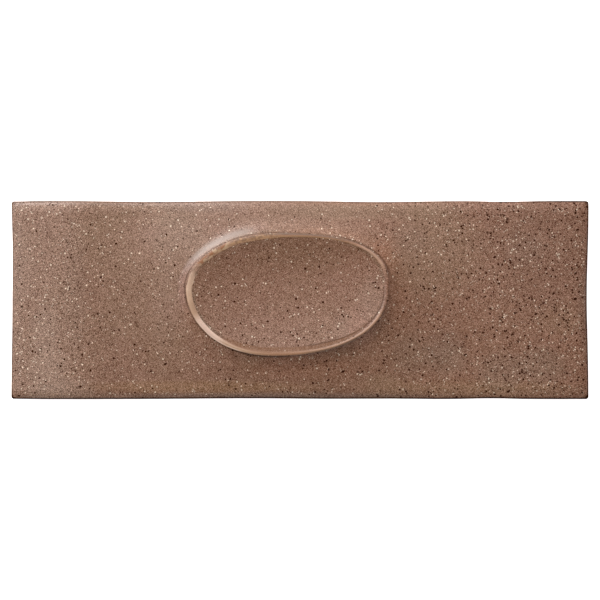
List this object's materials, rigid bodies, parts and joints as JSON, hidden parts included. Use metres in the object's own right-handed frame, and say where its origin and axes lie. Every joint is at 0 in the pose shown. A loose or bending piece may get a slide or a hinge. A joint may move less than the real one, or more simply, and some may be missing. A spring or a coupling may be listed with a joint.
{
  "type": "relief wall tile",
  "caption": "Rectangular glazed ceramic wall tile whose softly pillowed face swells up to a raised egg-shaped rim around a shallow dish; grooved unglazed back.",
  "frame": {"origin": "centre of the tile's back plane", "axes": "+X along the length, +Y across the width, +Z out of the glazed face; the tile lies on its back"},
  "size_m": [0.3, 0.103, 0.0183],
  "materials": {
    "glaze": "satin brown glaze, finely speckled dark and pale, breaking to tan clay on the rim and the arrises; the back is bare tan clay"
  },
  "bodies": {
    "root": {"tile": "glaze"}
  },
  "joints": []
}
